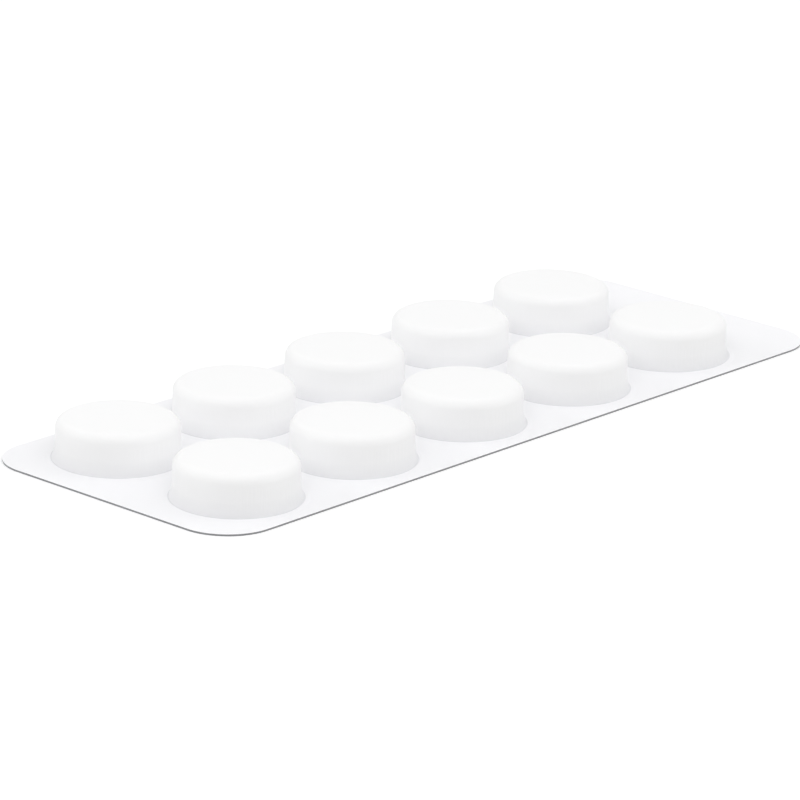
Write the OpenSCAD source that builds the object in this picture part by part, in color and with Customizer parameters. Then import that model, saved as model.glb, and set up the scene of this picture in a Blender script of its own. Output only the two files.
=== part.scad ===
// Blister pack: a strip of round tablets, sealed one by one under an opaque white formed film.
// The strip lies flat, X runs along it, Z points up, and the origin is the middle of its underside.

/* [Pockets] */
// Pockets along the strip
columns = 5; // [1:1:6]
// Rows of pockets across the strip
rows = 2; // [1:1:3]
// Distance between pocket centres along the strip
pitch_x = 20; // [18:0.5:26]
// Distance between the rows
pitch_y = 20; // [18:0.5:26]
// Outside diameter of a pocket's wall, above the flare at its foot
pocket_d = 15.3; // [10:0.1:16]
// Height of a pocket's flat top above the web
pocket_h = 5.1; // [4.5:0.1:8]
// How much nearer the axis the wall stands at the shoulder than at the foot
wall_draft = 0.06; // [0:0.02:0.4]
// Radius of the rounded shoulder between the wall and the flat top
shoulder_r = 1.2; // [0.4:0.1:2]
// How far the foot stands out past the wall
flare_w = 0.4; // [0.1:0.05:0.6]
// Height at which the flare has run out into the wall
flare_h = 1.8; // [0.8:0.1:2.2]

/* [Web] */
// Web between the feet and the strip's end, at the end with the short margin
short_end_web = 4; // [1:0.5:12]
// Web between the feet and the strip's end, at the end with the long margin
long_end_web = 11.4; // [1:0.2:20]
// Web between the feet and the long edge in front of them
front_web = 2.3; // [1:0.1:8]
// Web between the feet and the long edge behind them
back_web = 3.5; // [1:0.1:8]
// Radius of the strip's rounded corners
corner_r = 6.6; // [1:0.2:9]

/* [Sheets] */
// Thickness of the formed plastic film, in the web
film_t = 0.25; // [0.15:0.05:0.5]
// Thickness of the aluminium lidding foil with its sealing lacquer
foil_t = 0.03; // [0.02:0.01:0.1]

/* [Hidden] */
$fn = 96;
foot_d = pocket_d + 2 * flare_w;
strip_l = short_end_web + foot_d + (columns - 1) * pitch_x + long_end_web;
strip_w = front_web + foot_d + (rows - 1) * pitch_y + back_web;
first_x = -strip_l / 2 + short_end_web + foot_d / 2;
first_y = -strip_w / 2 + front_web + foot_d / 2;
web_top = foil_t + film_t;
// A pocket reaches halfway down into the web, so that the two are one solid
pocket_root = film_t / 2;
wall_r = pocket_d / 2;
shoulder_edge_r = wall_r - wall_draft;
// Radius of the hollow arc that leads from the web up into the wall
flare_r = (pow(flare_w, 2) + pow(flare_h, 2)) / (2 * flare_w);

// Rectangle with rounded corners, in the XY plane
module strip_outline() {
    square([strip_l - 2 * corner_r, strip_w], center = true);
    square([strip_l, strip_w - 2 * corner_r], center = true);
    for (side_x = [-1, 1], side_y = [-1, 1])
        translate([side_x * (strip_l / 2 - corner_r), side_y * (strip_w / 2 - corner_r)])
            circle(r = corner_r);
}

// Half section of one filled pocket, with the web's upper face at y = 0
module pocket_section() {
    translate([0, -pocket_root])
        square([foot_d / 2, pocket_root]);
    polygon([
        [0, 0], [wall_r, 0], [wall_r, flare_h],
        [shoulder_edge_r, pocket_h - shoulder_r], [0, pocket_h - shoulder_r]
    ]);
    foot_flare_section();
    shoulder_section();
}

// The flare at the foot: a strip beside the wall, less the hollow arc
module foot_flare_section() {
    difference() {
        translate([wall_r, 0])
            square([flare_w, flare_h]);
        translate([wall_r + flare_r, flare_h])
            circle(r = flare_r);
    }
}

// The rounded shoulder and the flat top inside it
module shoulder_section() {
    top_r = shoulder_edge_r - shoulder_r;
    translate([0, pocket_h - shoulder_r])
        square([top_r, shoulder_r]);
    intersection() {
        translate([top_r, pocket_h - shoulder_r])
            circle(r = shoulder_r);
        translate([top_r, pocket_h - shoulder_r])
            square(shoulder_r);
    }
}

// The white film and its filled pockets: sealed and opaque, so each tablet and its film are one solid
module formed_film() {
    color("white") {
        translate([0, 0, foil_t])
            linear_extrude(film_t)
                strip_outline();
        for (column = [0 : columns - 1], row = [0 : rows - 1])
            translate([first_x + column * pitch_x, first_y + row * pitch_y, web_top])
                rotate_extrude()
                    pocket_section();
    }
}

// The aluminium foil that closes the pockets from below, cut together with the film
module lidding_foil() {
    color("silver")
        linear_extrude(foil_t)
            strip_outline();
}

formed_film();
lidding_foil();
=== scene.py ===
"""Looks of a sealed blister pack: white formed film, punched edge and aluminium lidding foil."""

import logging
import math
from dataclasses import dataclass
from enum import Enum
from typing import Any, Sequence

import bmesh
import bpy
import numpy as np
from mathutils import Matrix, Vector


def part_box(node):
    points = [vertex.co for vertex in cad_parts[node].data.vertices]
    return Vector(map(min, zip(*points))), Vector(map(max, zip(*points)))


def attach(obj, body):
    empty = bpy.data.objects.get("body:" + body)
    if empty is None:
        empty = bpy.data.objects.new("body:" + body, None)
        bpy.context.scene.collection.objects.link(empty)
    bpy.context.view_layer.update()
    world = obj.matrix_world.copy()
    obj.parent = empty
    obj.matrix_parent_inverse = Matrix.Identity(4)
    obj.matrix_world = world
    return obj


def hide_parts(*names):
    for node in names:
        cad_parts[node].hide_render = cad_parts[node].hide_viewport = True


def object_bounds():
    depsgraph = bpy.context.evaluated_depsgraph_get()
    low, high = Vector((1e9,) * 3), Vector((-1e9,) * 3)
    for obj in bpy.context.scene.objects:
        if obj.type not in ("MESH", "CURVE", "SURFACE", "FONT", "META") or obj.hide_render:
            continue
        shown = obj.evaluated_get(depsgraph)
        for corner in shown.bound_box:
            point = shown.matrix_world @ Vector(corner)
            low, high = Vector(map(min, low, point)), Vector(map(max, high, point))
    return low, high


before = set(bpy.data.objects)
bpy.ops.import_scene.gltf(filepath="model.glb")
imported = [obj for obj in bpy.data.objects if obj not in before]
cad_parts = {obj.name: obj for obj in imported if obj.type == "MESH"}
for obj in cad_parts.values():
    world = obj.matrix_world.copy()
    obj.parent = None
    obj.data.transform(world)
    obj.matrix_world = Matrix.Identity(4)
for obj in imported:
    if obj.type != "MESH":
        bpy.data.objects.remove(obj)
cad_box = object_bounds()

log = logging.getLogger("blister_pack")

MM = 0.001
PHOTO_WIDTH_PX = 800
SENSOR_MM = 36.0
# Faces that meet at more than this stay sharp
SHARP_DEGREES = 50.0
# A Mix node's sockets for colours
MIX_A = 6
MIX_B = 7
MIX_RESULT = 2


class Slot(Enum):
    """The record's material slots."""

    FILM = "white_film"
    FOIL = "aluminium_foil"


class Zone(Enum):
    """Names of the vertex attributes that tell a finish where on the pack it is."""

    FORMED = "formed"
    THINNED_AND_SHADED = "thinned_and_shaded"
    SEALED = "sealed"


def linear_colour(code: str) -> tuple[float, float, float, float]:
    """Turns an sRGB hex colour into linear light.

    Args:
        code: the colour as #rrggbb.

    Returns:
        Linear red, green and blue, and an alpha of 1.
    """
    parts = [int(code[i : i + 2], 16) / 255 for i in (1, 3, 5)]
    return tuple(c / 12.92 if c <= 0.04045 else ((c + 0.055) / 1.055) ** 2.4 for c in parts) + (1.0,)


def add_node(
    tree: bpy.types.NodeTree,
    kind: str,
    settings: dict[str, Any] | None = None,
    inputs: dict[int | str, Any] | None = None,
) -> bpy.types.Node:
    """Adds one node with its settings, its values and its links.

    Args:
        tree: the node tree that it goes into.
        kind: the node's type name.
        settings: properties of the node, by name.
        inputs: for each input, a value, or the output socket that feeds it.

    Returns:
        The new node.
    """
    node = tree.nodes.new(kind)
    for name, value in (settings or {}).items():
        setattr(node, name, value)
    for key, value in (inputs or {}).items():
        if isinstance(value, bpy.types.NodeSocket):
            tree.links.new(value, node.inputs[key])
        else:
            node.inputs[key].default_value = value
    return node


def new_material(name: str) -> tuple[bpy.types.Material, bpy.types.NodeTree]:
    """Makes an empty node material.

    Args:
        name: the material's name.

    Returns:
        The material and its node tree, which holds nothing yet.
    """
    material = bpy.data.materials.new(name)
    material.use_nodes = True
    material.node_tree.nodes.clear()
    return material, material.node_tree


def seen_ray(tree: bpy.types.NodeTree) -> bpy.types.NodeSocket:
    """Tells rays that are seen, by the camera, in a reflection or through glass, from diffuse light.

    Args:
        tree: the node tree that needs to know.

    Returns:
        The socket that gives 1 for rays that are seen and 0 for the rest.
    """
    path = add_node(tree, "ShaderNodeLightPath")
    seen = path.outputs["Is Camera Ray"]
    for ray in ("Is Glossy Ray", "Is Transmission Ray"):
        seen = add_node(tree, "ShaderNodeMath", {"operation": "MAXIMUM"}, {
            0: seen, 1: path.outputs[ray]}).outputs[0]
    return seen


def pattern_scale(size_mm: float) -> float:
    """Scale of a noise texture, on coordinates in metres, whose grains are size_mm across."""
    return 1.0 / (size_mm * MM)


@dataclass(frozen=True)
class WhiteFilmFinish:
    """Opaque white PVC film, calendered and then thermoformed.

    The web keeps the calendered sheet's soft gloss and looks a touch cooler, because the foil behind it
    swallows some light. The formed pockets have a white tablet behind them, so they look cleaner. The film
    is drawn thinner and thinner down the walls, where it shows faint draw lines and turns greyer: this grey
    is partly the thinning and partly painted shade, darkest in the crease at the foot.
    """

    name: str = "calendered_white_pvc_film"
    web_colour: str = "#f7f7f9"
    pocket_colour: str = "#f8f8f8"
    # Grey of the thinned film, which also paints the shade of the lower walls and of the crease at the foot
    thinned_and_shaded_colour: str = "#dedee1"
    ior: float = 1.54
    web_roughness: float = 0.42
    pocket_roughness: float = 0.5
    # A calendered sheet's orange peel is finer than this: it is drawn as coarse as it needs to show
    peel_mm: float = 0.6
    peel_height_mm: float = 0.006
    peel_detail: float = 2.0
    draw_line_mm: float = 0.5
    draw_line_length_mm: float = 4.0
    draw_line_height_mm: float = 0.02
    draw_line_detail: float = 1.0
    # The draw lines have their full height where the film is thinned by this share
    drawn_from: float = 0.05

    def material(self) -> bpy.types.Material:
        """Builds the film's material from its colours, gloss and relief.

        Returns:
            The material, which reads the zones FORMED and THINNED_AND_SHADED.
        """
        material, tree = new_material(self.name)
        place = add_node(tree, "ShaderNodeTexCoord").outputs["Object"]
        formed, thinned_and_shaded = (
            add_node(tree, "ShaderNodeAttribute", {"attribute_name": zone.value}).outputs["Fac"]
            for zone in (Zone.FORMED, Zone.THINNED_AND_SHADED)
        )
        base = add_node(tree, "ShaderNodeMix", {"data_type": "RGBA"}, {
            0: formed, MIX_A: linear_colour(self.web_colour), MIX_B: linear_colour(self.pocket_colour)})
        # Painted shade: the thinned grey darkens the lower walls and the crease, partly for thinning and
        # partly for their shade
        colour = add_node(tree, "ShaderNodeMix", {"data_type": "RGBA"}, {
            0: thinned_and_shaded, MIX_A: base.outputs[MIX_RESULT], MIX_B: linear_colour(self.thinned_and_shaded_colour)})
        roughness = add_node(tree, "ShaderNodeMapRange", {}, {
            "Value": formed, "To Min": self.web_roughness, "To Max": self.pocket_roughness})
        peel = add_node(tree, "ShaderNodeTexNoise", {}, {
            "Vector": place, "Scale": pattern_scale(self.peel_mm), "Detail": self.peel_detail})
        peel_bump = add_node(tree, "ShaderNodeBump", {}, {
            "Height": peel.outputs[0], "Distance": self.peel_height_mm * MM, "Strength": 1.0})
        stretch = self.draw_line_mm / self.draw_line_length_mm
        along_wall = add_node(tree, "ShaderNodeMapping", {}, {
            "Vector": place, "Scale": (1.0, 1.0, stretch)})
        lines = add_node(tree, "ShaderNodeTexNoise", {}, {
            "Vector": along_wall.outputs[0], "Scale": pattern_scale(self.draw_line_mm),
            "Detail": self.draw_line_detail})
        drawn = add_node(tree, "ShaderNodeMapRange", {}, {"Value": thinned_and_shaded, "From Max": self.drawn_from})
        line_height = add_node(tree, "ShaderNodeMath", {"operation": "MULTIPLY"}, {
            0: lines.outputs[0], 1: drawn.outputs[0]})
        bump = add_node(tree, "ShaderNodeBump", {}, {
            "Height": line_height.outputs[0], "Distance": self.draw_line_height_mm * MM, "Strength": 1.0,
            "Normal": peel_bump.outputs[0]})
        shader = add_node(tree, "ShaderNodeBsdfPrincipled", {}, {
            "Base Color": colour.outputs[MIX_RESULT], "Roughness": roughness.outputs[0], "IOR": self.ior,
            "Normal": bump.outputs[0]})
        add_node(tree, "ShaderNodeOutputMaterial", {}, {"Surface": shader.outputs[0]})
        return material


@dataclass(frozen=True)
class PunchedEdgeFinish:
    """The strip's edge, cut through film and foil by a punch.

    The punch drags the foil's metal over the cut and leaves fine upright scores. The edge's dull grey is
    partly that metal and partly painted shade, standing in for the shaded cut of the film and its contact
    shadow.
    """

    name: str = "punched_edge_with_painted_shade"
    # Greys partly of the cut foil and partly painted shade of the cut edge and its contact shadow
    light_grey: str = "#98999b"
    dark_grey: str = "#7d7e80"
    roughness: float = 0.55
    # Real punch scores are a few hundredths apart: they are drawn as coarse as they need to show
    score_mm: float = 0.35
    score_length_mm: float = 3.5
    score_detail: float = 2.0

    def material(self) -> bpy.types.Material:
        """Builds the edge's material: two greys mixed by scores that run across the sheet's thickness.

        Returns:
            The material.
        """
        material, tree = new_material(self.name)
        place = add_node(tree, "ShaderNodeTexCoord").outputs["Object"]
        upright = add_node(tree, "ShaderNodeMapping", {}, {
            "Vector": place, "Scale": (1.0, 1.0, self.score_mm / self.score_length_mm)})
        scores = add_node(tree, "ShaderNodeTexNoise", {}, {
            "Vector": upright.outputs[0], "Scale": pattern_scale(self.score_mm),
            "Detail": self.score_detail})
        colour = add_node(tree, "ShaderNodeMix", {"data_type": "RGBA"}, {
            0: scores.outputs[0], MIX_A: linear_colour(self.dark_grey),
            MIX_B: linear_colour(self.light_grey)})
        shader = add_node(tree, "ShaderNodeBsdfPrincipled", {}, {
            "Base Color": colour.outputs[MIX_RESULT], "Roughness": self.roughness})
        add_node(tree, "ShaderNodeOutputMaterial", {}, {"Surface": shader.outputs[0]})
        return material


@dataclass(frozen=True)
class LiddingFoilFinish:
    """Hard aluminium foil, cold rolled, heat-sealed between a flat plate and a knurled one.

    Rolling leaves fine streaks along the strip. The seal plate presses a field of small diamonds into the
    sealed web, and the grooves between them are painted darker: painted shade, for their sides see mostly
    each other. Over each pocket the foil is free, smooth and very slightly buckled, inside a grey line of
    painted shade in its crease.
    """

    name: str = "hard_rolled_aluminium_foil"
    colour: str = "#e2e3e6"
    streak_colour: str = "#bfc1c6"
    # Painted shade: the knurl's grooves and the crease round each pocket are darkened in the colour
    groove_shade_colour: str = "#96989d"
    groove_shade_strength: float = 0.75
    crease_shade_strength: float = 0.7
    roughness: float = 0.28
    # Real rolling streaks are too fine to show: these are drawn as coarse as they need to show
    streak_mm: float = 0.5
    streak_length_mm: float = 20.0
    streak_roughness: float = 0.12
    streak_detail: float = 3.0
    knurl_mm: float = 1.1
    knurl_height_mm: float = 0.08
    knurl_turn_degrees: float = 45.0
    buckle_mm: float = 4.0
    buckle_height_mm: float = 0.2
    buckle_detail: float = 1.0

    def material(self) -> bpy.types.Material:
        """Builds the foil's material from its rolling streaks, seal knurl and buckles, and the painted shade
        of its grooves and creases.

        Returns:
            The material, which reads the zone SEALED.
        """
        material, tree = new_material(self.name)
        place = add_node(tree, "ShaderNodeTexCoord").outputs["Object"]
        sealed = add_node(tree, "ShaderNodeAttribute", {"attribute_name": Zone.SEALED.value}).outputs["Fac"]
        rolled = add_node(tree, "ShaderNodeMapping", {}, {
            "Vector": place, "Scale": (self.streak_mm / self.streak_length_mm, 1.0, 1.0)})
        streaks = add_node(tree, "ShaderNodeTexNoise", {}, {
            "Vector": rolled.outputs[0], "Scale": pattern_scale(self.streak_mm),
            "Detail": self.streak_detail})
        roughness = add_node(tree, "ShaderNodeMapRange", {}, {
            "Value": streaks.outputs[0], "To Min": self.roughness - self.streak_roughness / 2,
            "To Max": self.roughness + self.streak_roughness / 2})
        knurl = self.knurl_height(tree, place)
        knurl_height = add_node(tree, "ShaderNodeMath", {"operation": "MULTIPLY"}, {0: knurl, 1: sealed})
        knurl_bump = add_node(tree, "ShaderNodeBump", {}, {
            "Height": knurl_height.outputs[0], "Distance": self.knurl_height_mm * MM, "Strength": 1.0})
        buckles = add_node(tree, "ShaderNodeTexNoise", {}, {
            "Vector": place, "Scale": pattern_scale(self.buckle_mm), "Detail": self.buckle_detail})
        free = add_node(tree, "ShaderNodeMath", {"operation": "SUBTRACT"}, {0: 1.0, 1: sealed})
        buckle_height = add_node(tree, "ShaderNodeMath", {"operation": "MULTIPLY"}, {
            0: buckles.outputs[0], 1: free.outputs[0]})
        bump = add_node(tree, "ShaderNodeBump", {}, {
            "Height": buckle_height.outputs[0], "Distance": self.buckle_height_mm * MM, "Strength": 1.0,
            "Normal": knurl_bump.outputs[0]})
        sheet = add_node(tree, "ShaderNodeMix", {"data_type": "RGBA"}, {
            0: streaks.outputs[0], MIX_A: linear_colour(self.colour),
            MIX_B: linear_colour(self.streak_colour)})
        shade = self.groove_shade(tree, knurl, sealed)
        # Painted shade of the grooves and creases, mixed into the foil's colour
        colour = add_node(tree, "ShaderNodeMix", {"data_type": "RGBA"}, {
            0: shade, MIX_A: sheet.outputs[MIX_RESULT], MIX_B: linear_colour(self.groove_shade_colour)})
        shader = add_node(tree, "ShaderNodeBsdfPrincipled", {}, {
            "Base Color": colour.outputs[MIX_RESULT], "Metallic": 1.0, "Roughness": roughness.outputs[0],
            "Normal": bump.outputs[0]})
        add_node(tree, "ShaderNodeOutputMaterial", {}, {"Surface": shader.outputs[0]})
        return material

    def groove_shade(
        self, tree: bpy.types.NodeTree, knurl: bpy.types.NodeSocket, sealed: bpy.types.NodeSocket
    ) -> bpy.types.NodeSocket:
        """How much painted shade the foil's colour takes, from 0 on its faces to 1 in its deepest grooves.

        In the sealed web it goes with the square of one less the knurl's height. In a pocket's crease,
        where the sealed share runs from 0 to 1, it goes with four times that share times one less that
        share, which is 1 halfway.

        Args:
            tree: the foil's node tree.
            knurl: the diamond field's height.
            sealed: how far the foil is sealed.

        Returns:
            The socket that gives the shade.
        """
        depth = add_node(tree, "ShaderNodeMath", {"operation": "SUBTRACT"}, {0: 1.0, 1: knurl})
        steep = add_node(tree, "ShaderNodeMath", {"operation": "MULTIPLY"}, {
            0: depth.outputs[0], 1: depth.outputs[0]})
        groove = add_node(tree, "ShaderNodeMath", {"operation": "MULTIPLY"}, {
            0: steep.outputs[0], 1: self.groove_shade_strength})
        in_web = add_node(tree, "ShaderNodeMath", {"operation": "MULTIPLY"}, {
            0: groove.outputs[0], 1: sealed})
        free = add_node(tree, "ShaderNodeMath", {"operation": "SUBTRACT"}, {0: 1.0, 1: sealed})
        between = add_node(tree, "ShaderNodeMath", {"operation": "MULTIPLY"}, {
            0: free.outputs[0], 1: sealed})
        crease = add_node(tree, "ShaderNodeMath", {"operation": "MULTIPLY"}, {
            0: between.outputs[0], 1: 4 * self.crease_shade_strength})
        return add_node(tree, "ShaderNodeMath", {"operation": "MAXIMUM"}, {
            0: in_web.outputs[0], 1: crease.outputs[0]}).outputs[0]

    def knurl_height(self, tree: bpy.types.NodeTree, place: bpy.types.NodeSocket) -> bpy.types.NodeSocket:
        """Height of the diamond field, from 0 in its grooves to 1 on its points.

        The pattern is turned by an eighth of a turn, each of its two coordinates runs up and down once per
        diamond, which takes two units of it, and the lower of the two is the height of a four-sided point.

        Args:
            tree: the foil's node tree.
            place: the foil's Object coordinates.

        Returns:
            The socket that gives the height.
        """
        turned = add_node(tree, "ShaderNodeMapping", {}, {
            "Vector": place, "Rotation": (0.0, 0.0, math.radians(self.knurl_turn_degrees)),
            "Scale": (2 * pattern_scale(self.knurl_mm),) * 3})
        parts = add_node(tree, "ShaderNodeSeparateXYZ", {}, {0: turned.outputs[0]})
        rises = [
            add_node(tree, "ShaderNodeMath", {"operation": "PINGPONG"}, {0: parts.outputs[i], 1: 1.0})
            for i in (0, 1)
        ]
        lower = add_node(tree, "ShaderNodeMath", {"operation": "MINIMUM"}, {
            0: rises[0].outputs[0], 1: rises[1].outputs[0]})
        return lower.outputs[0]


@dataclass(frozen=True)
class FloorFinish:
    """Matt white studio floor.

    Seen by the camera or in a reflection it has a small glow of its own, which takes its lit part to plain
    white and leaves the pack's shadow on it. A view from below looks through it: its back is clear, and so
    is its face to light whose path has already come through the back.
    """

    name: str = "matt_white_studio_floor"
    seen_colour: str = "#f8f8f8"
    bounce_colour: str = "#e2e2e2"
    glow: float = 0.14

    def material(self) -> bpy.types.Material:
        """Builds the floor's material: one look for what is seen, one for the light that it returns.

        Returns:
            The material.
        """
        material, tree = new_material(self.name)
        bounce = add_node(tree, "ShaderNodeBsdfDiffuse", {}, {"Color": linear_colour(self.bounce_colour)})
        paint = add_node(tree, "ShaderNodeBsdfDiffuse", {}, {"Color": linear_colour(self.seen_colour)})
        glow = add_node(tree, "ShaderNodeEmission", {}, {"Strength": self.glow})
        bright = add_node(tree, "ShaderNodeAddShader", {}, {0: paint.outputs[0], 1: glow.outputs[0]})
        top = add_node(tree, "ShaderNodeMixShader", {}, {
            0: seen_ray(tree), 1: bounce.outputs[0], 2: bright.outputs[0]})
        clear = add_node(tree, "ShaderNodeBsdfTransparent")
        from_below = add_node(tree, "ShaderNodeMath", {"operation": "MAXIMUM"}, {
            0: add_node(tree, "ShaderNodeNewGeometry").outputs["Backfacing"],
            1: add_node(tree, "ShaderNodeLightPath").outputs["Transparent Depth"]})
        both = add_node(tree, "ShaderNodeMixShader", {}, {
            0: from_below.outputs[0], 1: top.outputs[0], 2: clear.outputs[0]})
        add_node(tree, "ShaderNodeOutputMaterial", {}, {"Surface": both.outputs[0]})
        return material


@dataclass(frozen=True)
class StripLayout:
    """Where the strip's pockets and edges are, in metres.

    The overall box and the foil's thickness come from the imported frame, the rest are the strip's own sizes.
    """

    low: Vector
    high: Vector
    foil_thickness: float
    columns: int = 5
    rows: int = 2
    pitch: float = 20.0 * MM
    film_thickness: float = 0.25 * MM
    wall_radius: float = 7.65 * MM
    wall_draft: float = 0.06 * MM
    shoulder_radius: float = 1.2 * MM
    flare_width: float = 0.4 * MM
    flare_height: float = 1.8 * MM
    short_end_web: float = 4.0 * MM
    front_web: float = 2.3 * MM
    corner_radius: float = 6.6 * MM

    @property
    def foot_radius(self) -> float:
        """Radius of a pocket's foot."""
        return self.wall_radius + self.flare_width

    @property
    def web_top(self) -> float:
        """Height of the web's upper face."""
        return self.foil_thickness + self.film_thickness

    def centre(self, column: int, row: int) -> np.ndarray:
        """Middle of one pocket, seen from above."""
        first = np.array([self.low.x + self.short_end_web, self.low.y + self.front_web]) + self.foot_radius
        return first + self.pitch * np.array([column, row])

    def cell(self, column: int, row: int, per_side: int) -> tuple[np.ndarray, np.ndarray]:
        """Outline of the piece of web that belongs to one pocket, counter-clockwise.

        Inner sides lie halfway to the next pocket, outer sides on the strip's edge. Each side has per_side
        even steps. Two outer sides that meet in a rounded corner share their steps along the whole bend.

        Args:
            column: the pocket's place along the strip.
            row: the pocket's place across the strip.
            per_side: steps on each side.

        Returns:
            The points, and for each the truth of whether the step from it runs along the strip's edge.
        """
        half = self.pitch / 2
        left, front = self.centre(column, row) - half
        right, back = self.centre(column, row) + half
        outer = [column == self.columns - 1, row == self.rows - 1, column == 0, row == 0]
        right = self.high.x if outer[0] else right
        back = self.high.y if outer[1] else back
        left = self.low.x if outer[2] else left
        front = self.low.y if outer[3] else front
        corners = np.array([(right, front), (right, back), (left, back), (left, front)])
        points = np.concatenate([
            corners[i] + (corners[(i + 1) % 4] - corners[i]) * (np.arange(per_side) / per_side)[:, None]
            for i in range(4)
        ])
        for i in range(4):
            if outer[i] and outer[(i + 1) % 4]:
                where = (np.arange(2 * per_side) + i * per_side) % (4 * per_side)
                points[where] = self.round_bend(corners[i], corners[(i + 1) % 4], corners[(i + 2) % 4],
                                                2 * per_side)
        return points, np.repeat(outer, per_side)

    def round_bend(self, start: np.ndarray, corner: np.ndarray, end: np.ndarray, steps: int) -> np.ndarray:
        """Even steps along two sides and the quarter circle that joins them.

        A distance along the way gives a point on the first side, then a turn of distance over radius about
        the arc's centre, then a point on the second side.

        Args:
            start: where the first side starts.
            corner: where the two sides would meet.
            end: where the second side ends.
            steps: how many steps the whole way has.

        Returns:
            The points, without the last one.
        """
        first, second = start - corner, end - corner
        first_length, second_length = np.linalg.norm(first), np.linalg.norm(second)
        first, second = first / first_length, second / second_length
        radius = self.corner_radius
        arc_start = first_length - radius
        arc_length = radius * math.pi / 2
        whole = arc_start + arc_length + second_length - radius
        way = (np.arange(steps) / steps * whole)[:, None]
        turn = np.clip((way - arc_start) / radius, 0, math.pi / 2)
        middle = corner + (first + second) * radius
        on_arc = middle - second * radius * np.cos(turn) - first * radius * np.sin(turn)
        before = first * np.clip(arc_start - way, 0, None)
        after = second * np.clip(way - arc_start - arc_length, 0, None)
        return on_arc + before + after


@dataclass(frozen=True)
class Rings:
    """Circles round one pocket's axis, from its middle outwards.

    Each has one radius, one height and one share that says how much the film is thinned and how much painted
    shade its colour takes there.
    """

    radius: np.ndarray
    height: np.ndarray
    thinned_and_shaded: np.ndarray

    @staticmethod
    def joined(*parts: tuple[np.ndarray, np.ndarray, np.ndarray]) -> "Rings":
        """Joins stretches of an outline, each given as radii, heights and thinning, into one."""
        return Rings(*(np.concatenate(values) for values in zip(*parts)))


@dataclass
class SheetBuilder:
    """Collects the cells of a closed sheet and makes them one mesh."""

    points: list[np.ndarray]
    quads: list[np.ndarray]
    triangles: list[np.ndarray]
    edge_quads: list[np.ndarray]
    marks: dict[str, list[np.ndarray]]
    count: int = 0

    @staticmethod
    def empty(zones: Sequence[Zone]) -> "SheetBuilder":
        """A builder with nothing in it yet, for a mesh with these vertex attributes."""
        return SheetBuilder([], [], [], [], {zone.value: [] for zone in zones})

    def add_cell(self, grid: np.ndarray, middle: np.ndarray, floor: np.ndarray, floor_middle: np.ndarray,
                 on_edge: np.ndarray, marks: dict[str, np.ndarray]) -> None:
        """Adds one pocket's piece of the sheet.

        Ring k and ring k + 1 are joined step by step by quads. The innermost ring is closed by a fan to the
        middle, the underside is a fan too, and the sheet's own edge joins the two where the cell has one.

        Args:
            grid: rings by steps by 3, from the innermost ring to the cell's outline, on the upper side.
            middle: the point that closes the innermost ring.
            floor: steps by 3, the cell's outline on the underside.
            floor_middle: the middle of the underside.
            on_edge: for each step, whether it runs along the strip's edge.
            marks: for each attribute, its value on every ring.
        """
        rings, steps, _ = grid.shape
        step = np.arange(steps)
        after = (step + 1) % steps
        base = self.count
        inner = base + (np.arange(rings - 1) * steps)[:, None]
        outer = inner + steps
        quads = np.stack([inner + step, outer + step, outer + after, inner + after], -1)
        self.quads.append(quads.reshape(-1, 4))
        top_middle = base + rings * steps
        floor_start = top_middle + 1
        under_middle = floor_start + steps
        self.triangles.append(np.stack([np.full(steps, top_middle), base + step, base + after], -1))
        self.triangles.append(np.stack([np.full(steps, under_middle), floor_start + after,
                                        floor_start + step], -1))
        outline = base + (rings - 1) * steps
        edge = np.stack([outline + step, floor_start + step, floor_start + after, outline + after], -1)
        self.edge_quads.append(edge[on_edge])
        self.points += [grid.reshape(-1, 3), middle[None], floor, floor_middle[None]]
        for name, values in marks.items():
            spread = np.repeat(values, steps)
            self.marks[name].append(np.concatenate([spread, values[:1], np.full(steps + 1, values[-1])]))
        self.count = under_middle + 1

    def build(self, name: str, materials: Sequence[bpy.types.Material]) -> bpy.types.Object:
        """Makes the object, welds its cells and shades it smooth but for its sharp edges.

        Args:
            name: the piece's name.
            materials: the finish of its faces and the finish of its edge.

        Returns:
            The new object.
        """
        quads = np.concatenate(self.quads)
        edge = np.concatenate(self.edge_quads)
        triangles = np.concatenate(self.triangles)
        mesh = bpy.data.meshes.new(name)
        faces = [*quads.tolist(), *edge.tolist(), *triangles.tolist()]
        mesh.from_pydata(np.concatenate(self.points), [], faces)
        slots = np.zeros(len(faces), np.int32)
        slots[len(quads) : len(quads) + len(edge)] = 1
        for material in materials:
            mesh.materials.append(material)
        mesh.polygons.foreach_set("material_index", slots)
        for zone, values in self.marks.items():
            mesh.attributes.new(zone, "FLOAT", "POINT").data.foreach_set("value", np.concatenate(values))
        weld(mesh)
        mesh.shade_smooth()
        mesh.set_sharp_from_angle(angle=math.radians(SHARP_DEGREES))
        piece = bpy.data.objects.new(name, mesh)
        bpy.context.scene.collection.objects.link(piece)
        return piece


def weld(mesh: bpy.types.Mesh, distance: float = 0.001 * MM) -> None:
    """Merges the points that neighbouring cells share.

    Args:
        mesh: the mesh to weld.
        distance: points nearer to each other than this become one.
    """
    work = bmesh.new()
    work.from_mesh(mesh)
    bmesh.ops.remove_doubles(work, verts=work.verts, dist=distance)
    work.to_mesh(mesh)
    work.free()


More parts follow.
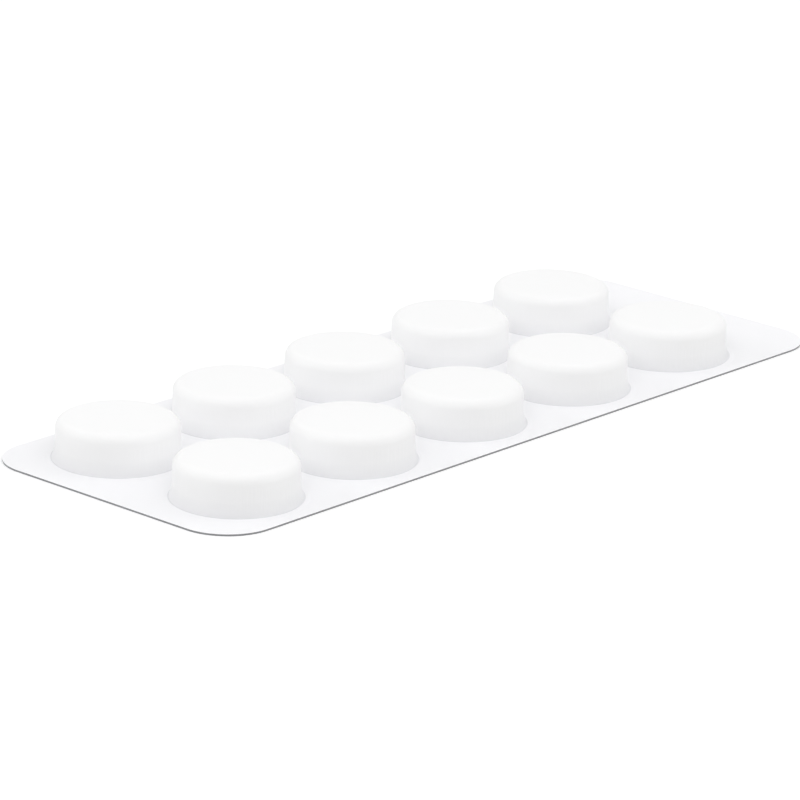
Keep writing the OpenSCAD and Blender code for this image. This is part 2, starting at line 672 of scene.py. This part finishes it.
@dataclass
class FormedFilm:
    """The white film with its ten filled pockets, as one closed skin."""

    layout: StripLayout
    film: WhiteFilmFinish
    edge: PunchedEdgeFinish
    name: str = "film_skin"
    steps_per_side: int = 40
    # A formed top is never quite flat: its rim lies a little lower than its middle
    crown: float = 0.05 * MM
    foot_fillet: float = 0.06 * MM
    # The film beside the foot isn't sealed: the seal starts here and presses the web down a little
    collar_width: float = 0.55 * MM
    seal_step: float = 0.025 * MM
    seal_step_width: float = 0.2 * MM
    edge_roll: float = 0.04 * MM
    edge_roll_width: float = 0.1 * MM
    # Rings this close to a bend keep the shading of the flat web beside it flat
    support_gap: float = 0.1 * MM
    # Where the rings of the flat top lie, as shares of its radius
    top_shares: tuple[float, ...] = (0.12, 0.3, 0.5, 0.7, 0.88, 1.0)
    shoulder_rings: int = 12
    wall_rings: int = 6
    flare_rings: int = 7
    foot_rings: int = 4
    web_rings: int = 4
    # Each pocket cools a little out of round, by this much at its shoulder: an oval and a three-sided wave,
    # turned from one pocket to the next
    out_of_round: float = 0.025 * MM
    three_sided_share: float = 0.6
    oval_turn: float = 2.4
    three_sided_turn: float = -4.08
    # How far the film is thinned and painted with shade where the flare starts, just above the crease and in
    # the crease itself
    wall_thinning_and_shade: float = 0.15
    foot_thinning_and_shade: float = 0.7
    crease_thinning_and_shade: float = 0.9
    # The collar is back at full thickness, without painted shade, this far outside the crease
    crease_width: float = 0.12 * MM

    def pocket_rings(self) -> Rings:
        """A pocket's outline, from the rim of its flat top to the foot of its collar.

        The top falls with the square of the radius. The shoulder is a quarter circle, the wall a straight
        line, the flare an arc that is upright where it meets the wall, and the foot a small quadratic bend.

        Returns:
            The rings, with heights above the web's upper face.
        """
        part = self.layout
        top_height = part.high.z - part.web_top
        shoulder_edge = part.wall_radius - part.wall_draft
        top_radius = shoulder_edge - part.shoulder_radius
        across = np.array(self.top_shares)
        turn = np.linspace(0, math.pi / 2, self.shoulder_rings + 1)[1:]
        shoulder_height = top_height - self.crown - part.shoulder_radius
        down = np.linspace(0, 1, self.wall_rings + 1)[1:]
        arc_radius = (part.flare_width**2 + part.flare_height**2) / (2 * part.flare_width)
        fall = np.linspace(0, 1, self.flare_rings + 1)[1:]
        flare_z = part.flare_height + (self.foot_fillet - part.flare_height) * fall

        def flare_r(height: np.ndarray) -> np.ndarray:
            """Radius of the flare at a height: an arc about a centre level with the flare's upper end."""
            below = part.flare_height - height
            return part.wall_radius + arc_radius - np.sqrt(arc_radius**2 - below**2)

        bend = np.linspace(0, 1, self.foot_rings + 1)[1:]
        start = np.array([flare_r(np.array(self.foot_fillet)), self.foot_fillet])
        knee = np.array([part.foot_radius, 0.0])
        end = np.array([part.foot_radius + self.foot_fillet, 0.0])
        weights = np.stack([(1 - bend) ** 2, 2 * bend * (1 - bend), bend**2], -1)
        foot = weights @ np.array([start, knee, end])
        collar = np.array([part.foot_radius + self.foot_fillet + self.crease_width])
        step = np.array([0.0, 0.5, 1.0])
        seal = part.foot_radius + self.collar_width + self.seal_step_width * step
        return Rings.joined(
            (top_radius * across, top_height - self.crown * across**2, 0 * across),
            (top_radius + part.shoulder_radius * np.sin(turn),
             shoulder_height + part.shoulder_radius * np.cos(turn), 0 * turn),
            (shoulder_edge + part.wall_draft * down,
             shoulder_height + (part.flare_height - shoulder_height) * down, self.wall_thinning_and_shade * down),
            (flare_r(flare_z), flare_z,
             self.wall_thinning_and_shade + (self.foot_thinning_and_shade - self.wall_thinning_and_shade) * fall),
            (foot[:, 0], foot[:, 1], self.crease_thinning_and_shade + 0 * bend),
            (collar, 0 * collar, 0 * collar),
            (seal, -self.seal_step * step, 0 * step),
        )

    def add_pocket(self, builder: SheetBuilder, column: int, row: int, rings: Rings) -> None:
        """Adds one pocket and its piece of web.

        The pocket's rings are circles whose steps look at the cell outline's points, so the web runs
        straight out from them along the same rays. An oval, a cosine of twice the angle, and a three-sided
        wave, a cosine of three times the angle, take them a little out of round.

        Args:
            builder: collects the cell.
            column: the pocket's place along the strip.
            row: the pocket's place across the strip.
            rings: the pocket's outline.
        """
        part = self.layout
        centre = part.centre(column, row)
        outline, on_edge = part.cell(column, row, self.steps_per_side)
        at_edge = on_edge | np.roll(on_edge, 1)
        away = outline - centre
        distance = np.linalg.norm(away, axis=1)
        ray = away / distance[:, None]
        angle = np.arctan2(ray[:, 1], ray[:, 0])
        top_height = part.high.z - part.web_top
        number = column + part.columns * row
        oval = np.cos(2 * angle + self.oval_turn * number)
        wobble = oval + self.three_sided_share * np.cos(3 * angle + self.three_sided_turn * number)
        lift = np.clip(rings.height / top_height, 0, 1) ** 2
        inside = np.clip(rings.radius / part.wall_radius, 0, 1) ** 4
        radius = rings.radius[:, None] + self.out_of_round * (lift * inside)[:, None] * wobble
        pocket = np.concatenate([
            centre + radius[:, :, None] * ray,
            np.broadcast_to((part.web_top + rings.height)[:, None, None], (*radius.shape, 1))], -1)
        flat_start = radius[-1] + self.support_gap
        flat_end = distance - self.edge_roll_width - self.support_gap
        share = np.linspace(0, 1, self.web_rings)[:, None]
        web_radius = np.concatenate([
            flat_start + (flat_end - flat_start) * share, [distance - self.edge_roll_width, distance]])
        web_height = np.full_like(web_radius, part.web_top - self.seal_step)
        web_height[-1] -= np.where(at_edge, self.edge_roll, 0.0)
        web = np.concatenate([centre + web_radius[:, :, None] * ray, web_height[:, :, None]], -1)
        underside = np.concatenate([outline, np.full((len(outline), 1), part.foil_thickness)], -1)
        no_web = np.zeros(len(web))
        formed = np.concatenate([np.where(rings.height > 0, 1.0, 0.0), no_web])
        thinned_and_shaded = np.concatenate([rings.thinned_and_shaded, no_web])
        builder.add_cell(
            np.concatenate([pocket, web]), np.array([*centre, part.high.z]), underside,
            np.array([*centre, part.foil_thickness]), on_edge,
            {Zone.FORMED.value: formed, Zone.THINNED_AND_SHADED.value: thinned_and_shaded})

    def build(self) -> bpy.types.Object:
        """Builds the skin and puts it in the place of the CAD film.

        Returns:
            The skin.
        """
        builder = SheetBuilder.empty([Zone.FORMED, Zone.THINNED_AND_SHADED])
        rings = self.pocket_rings()
        for column in range(self.layout.columns):
            for row in range(self.layout.rows):
                self.add_pocket(builder, column, row, rings)
        skin = builder.build(self.name, [self.film.material(), self.edge.material()])
        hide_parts("formed_film")
        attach(skin, "root")
        return skin


@dataclass
class LiddingFoil:
    """The aluminium foil under the film, as one closed sheet."""

    layout: StripLayout
    foil: LiddingFoilFinish
    edge: PunchedEdgeFinish
    name: str = "foil_sheet"
    steps_per_side: int = 40
    # Where the foil is free under a pocket its underside is drawn up a little, which rounds its rim
    free_lift: float = 0.012 * MM
    free_rim_width: float = 0.5 * MM
    # Where the rings of the free circle and of the web lie, as shares of their widths
    circle_shares: tuple[float, ...] = (0.25, 0.5, 0.75)
    web_shares: tuple[float, ...] = (0.1, 0.5, 1.0)
    # The rim's rings: how far in they lie and how much they are lifted, and how far they are sealed
    rim_shares: tuple[float, ...] = (1.0, 0.5, 0.0)
    rim_sealed: tuple[float, ...] = (0.0, 0.3, 0.9)

    def add_cell(self, builder: SheetBuilder, column: int, row: int) -> None:
        """Adds the piece of foil under one pocket, with its face down.

        Circles make the free middle and its rim, and the web runs on from them along the same rays to the
        cell's outline.

        Args:
            builder: collects the cell.
            column: the pocket's place along the strip.
            row: the pocket's place across the strip.
        """
        part = self.layout
        centre = part.centre(column, row)
        outline, on_edge = part.cell(column, row, self.steps_per_side)
        away = outline - centre
        distance = np.linalg.norm(away, axis=1)
        ray = away / distance[:, None]
        free_radius = part.foot_radius + self.free_rim_width
        inner, rim, outer = (np.array(v) for v in (self.circle_shares, self.rim_shares, self.web_shares))
        circles = np.concatenate([free_radius * inner, free_radius - self.free_rim_width * rim])
        fixed = circles[:, None] + np.zeros(len(outline))
        radius = np.concatenate([fixed, free_radius + (distance - free_radius) * outer[:, None]])
        lift = self.free_lift * np.concatenate([np.ones(len(inner)), rim, np.zeros(len(outer))])
        sealed = np.concatenate([np.zeros(len(inner)), self.rim_sealed, np.ones(len(outer))])
        height = np.broadcast_to(lift[:, None], radius.shape)
        grid = np.concatenate([centre + radius[:, :, None] * ray, height[:, :, None]], -1)
        upper = np.concatenate([outline, np.full((len(outline), 1), part.foil_thickness)], -1)
        # The steps run the other way round, because this sheet's face looks down
        builder.add_cell(
            grid[:, ::-1], np.array([*centre, self.free_lift]), upper[::-1],
            np.array([*centre, part.foil_thickness]), np.roll(on_edge[::-1], -1),
            {Zone.SEALED.value: sealed})

    def build(self) -> bpy.types.Object:
        """Builds the sheet and puts it in the place of the CAD foil.

        Returns:
            The sheet.
        """
        builder = SheetBuilder.empty([Zone.SEALED])
        for column in range(self.layout.columns):
            for row in range(self.layout.rows):
                self.add_cell(builder, column, row)
        sheet = builder.build(self.name, [self.foil.material(), self.edge.material()])
        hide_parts("lidding_foil")
        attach(sheet, "root")
        return sheet


def direction(azimuth: float, elevation: float) -> Vector:
    """Unit vector from the strip towards a place in the studio.

    Args:
        azimuth: degrees from the strip's front, -Y, towards +X.
        elevation: degrees above the floor.

    Returns:
        The vector.
    """
    turn, rise = math.radians(azimuth), math.radians(elevation)
    return Vector((math.sin(turn) * math.cos(rise), -math.cos(turn) * math.cos(rise), math.sin(rise)))


@dataclass(frozen=True)
class PhotoCamera:
    """The camera that sees the strip as the photograph does."""

    azimuth: float = -47.93
    elevation: float = 18.32
    roll: float = 1.27
    distance: float = 600.0 * MM
    focal_px: float = 4768.0
    target: tuple[float, float, float] = (-2.45 * MM, 0.94 * MM, 0.0)
    clip_start: float = 0.01
    clip_end: float = 20.0

    def place(self) -> bpy.types.Object:
        """Makes the camera and sets it as the scene's.

        Returns:
            The camera.
        """
        roll = math.radians(self.roll)
        back = direction(self.azimuth, self.elevation)
        level = Vector((0, 0, 1)).cross(back).normalized()
        upright = back.cross(level)
        right = math.cos(roll) * level + math.sin(roll) * upright
        up = math.cos(roll) * upright - math.sin(roll) * level
        data = bpy.data.cameras.new("camera")
        data.sensor_width = SENSOR_MM
        data.lens = self.focal_px / PHOTO_WIDTH_PX * SENSOR_MM
        data.clip_start = self.clip_start
        data.clip_end = self.clip_end
        camera = bpy.data.objects.new("camera", data)
        camera.matrix_world = Matrix.Translation(Vector(self.target) + back * self.distance) @ Matrix(
            (right, up, back)).transposed().to_4x4()
        bpy.context.scene.collection.objects.link(camera)
        bpy.context.scene.camera = camera
        return camera


@dataclass(frozen=True)
class SoftBox:
    """A square studio lamp that looks at the middle of the strip.

    Its azimuth and elevation are in degrees, measured as the camera's are. A lamp outside the white tent
    doesn't show in the gloss: the gloss shows the tent's even white instead.
    """

    name: str
    azimuth: float
    elevation: float
    side: float
    power: float
    outside_tent: bool = True
    distance: float = 1.0

    def build(self) -> bpy.types.Object:
        """Makes the lamp and turns it to the strip.

        Returns:
            The lamp.
        """
        data = bpy.data.lights.new(self.name, "AREA")
        data.shape = "SQUARE"
        data.size = self.side
        data.energy = self.power
        lamp = bpy.data.objects.new(self.name, data)
        away = direction(self.azimuth, self.elevation)
        lamp.location = away * self.distance
        lamp.rotation_mode = "QUATERNION"
        lamp.rotation_quaternion = away.to_track_quat("Z", "Y")
        lamp.visible_glossy = not self.outside_tent
        bpy.context.scene.collection.objects.link(lamp)
        return lamp


@dataclass(frozen=True)
class Studio:
    """Pale floor, white surroundings and soft boxes all round the strip.

    A ring of eight boxes stands halfway up, the strongest on the camera's side. Two low ones at its left
    and right fill the walls, and two below the floor put a soft sheen on the foil for a view from below.
    """

    floor: FloorFinish
    floor_size: float = 6.0
    # The floor lies this far below the strip, so that the two faces don't flicker through each other
    floor_gap: float = 0.02 * MM
    world_strength: float = 0.073
    # At this strength the surroundings are seen and mirrored as plain white
    seen_strength: float = 1.0
    lamps: tuple[SoftBox, ...] = (
        SoftBox("front_soft_box", -48, 45, 1.0, 3.8),
        SoftBox("front_right_soft_box", -3, 45, 1.0, 2.1),
        SoftBox("right_soft_box", 42, 45, 1.0, 1.85),
        SoftBox("back_right_soft_box", 87, 45, 1.0, 2.2),
        SoftBox("back_soft_box", 132, 45, 1.0, 0.6),
        SoftBox("back_left_soft_box", 177, 45, 1.0, 1.9),
        SoftBox("left_soft_box", -138, 45, 1.0, 1.05),
        SoftBox("front_left_soft_box", -93, 45, 1.0, 1.8),
        SoftBox("low_left_soft_box", -138, 20, 0.7, 2.55),
        SoftBox("low_right_soft_box", 42, 20, 0.7, 1.5),
        SoftBox("under_floor_front_soft_box", -48, -50, 0.6, 0.25, outside_tent=False),
        SoftBox("under_floor_back_soft_box", 132, -50, 0.6, 0.25, outside_tent=False),
    )

    def build(self) -> None:
        """Builds the floor, the world and the lamps, and sets how colours are shown."""
        half = self.floor_size / 2
        mesh = bpy.data.meshes.new("floor")
        corners = [(-half, -half), (half, -half), (half, half), (-half, half)]
        mesh.from_pydata([(x, y, -self.floor_gap) for x, y in corners], [], [(0, 1, 2, 3)])
        mesh.materials.append(self.floor.material())
        floor = bpy.data.objects.new("floor", mesh)
        bpy.context.scene.collection.objects.link(floor)
        self.light_world()
        for lamp in self.lamps:
            lamp.build()
        bpy.context.scene.view_settings.view_transform = "Standard"

    def light_world(self) -> None:
        """Gives the world a low light for the object and plain white for what is seen."""
        world = bpy.data.worlds.new("white_surroundings")
        bpy.context.scene.world = world
        world.use_nodes = True
        tree = world.node_tree
        tree.nodes.clear()
        strength = add_node(tree, "ShaderNodeMapRange", {}, {
            "Value": seen_ray(tree), "To Min": self.world_strength, "To Max": self.seen_strength})
        light = add_node(tree, "ShaderNodeBackground", {}, {
            "Color": (1.0, 1.0, 1.0, 1.0), "Strength": strength.outputs[0]})
        add_node(tree, "ShaderNodeOutputWorld", {}, {"Surface": light.outputs[0]})


def main() -> None:
    """Builds the pieces in order, then the studio and the camera, and reports each piece's faces."""
    logging.basicConfig(level=logging.INFO, format="%(name)s: %(message)s")
    low, high = cad_box
    layout = StripLayout(low, high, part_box("lidding_foil")[1].z)
    edge = PunchedEdgeFinish()
    film = FormedFilm(layout, WhiteFilmFinish(), edge).build()
    log.info("%s has %d faces", film.name, len(film.data.polygons))
    foil = LiddingFoil(layout, LiddingFoilFinish(), edge).build()
    log.info("%s has %d faces", foil.name, len(foil.data.polygons))
    Studio(FloorFinish()).build()
    PhotoCamera().place()


if __name__ == "__main__":
    main()
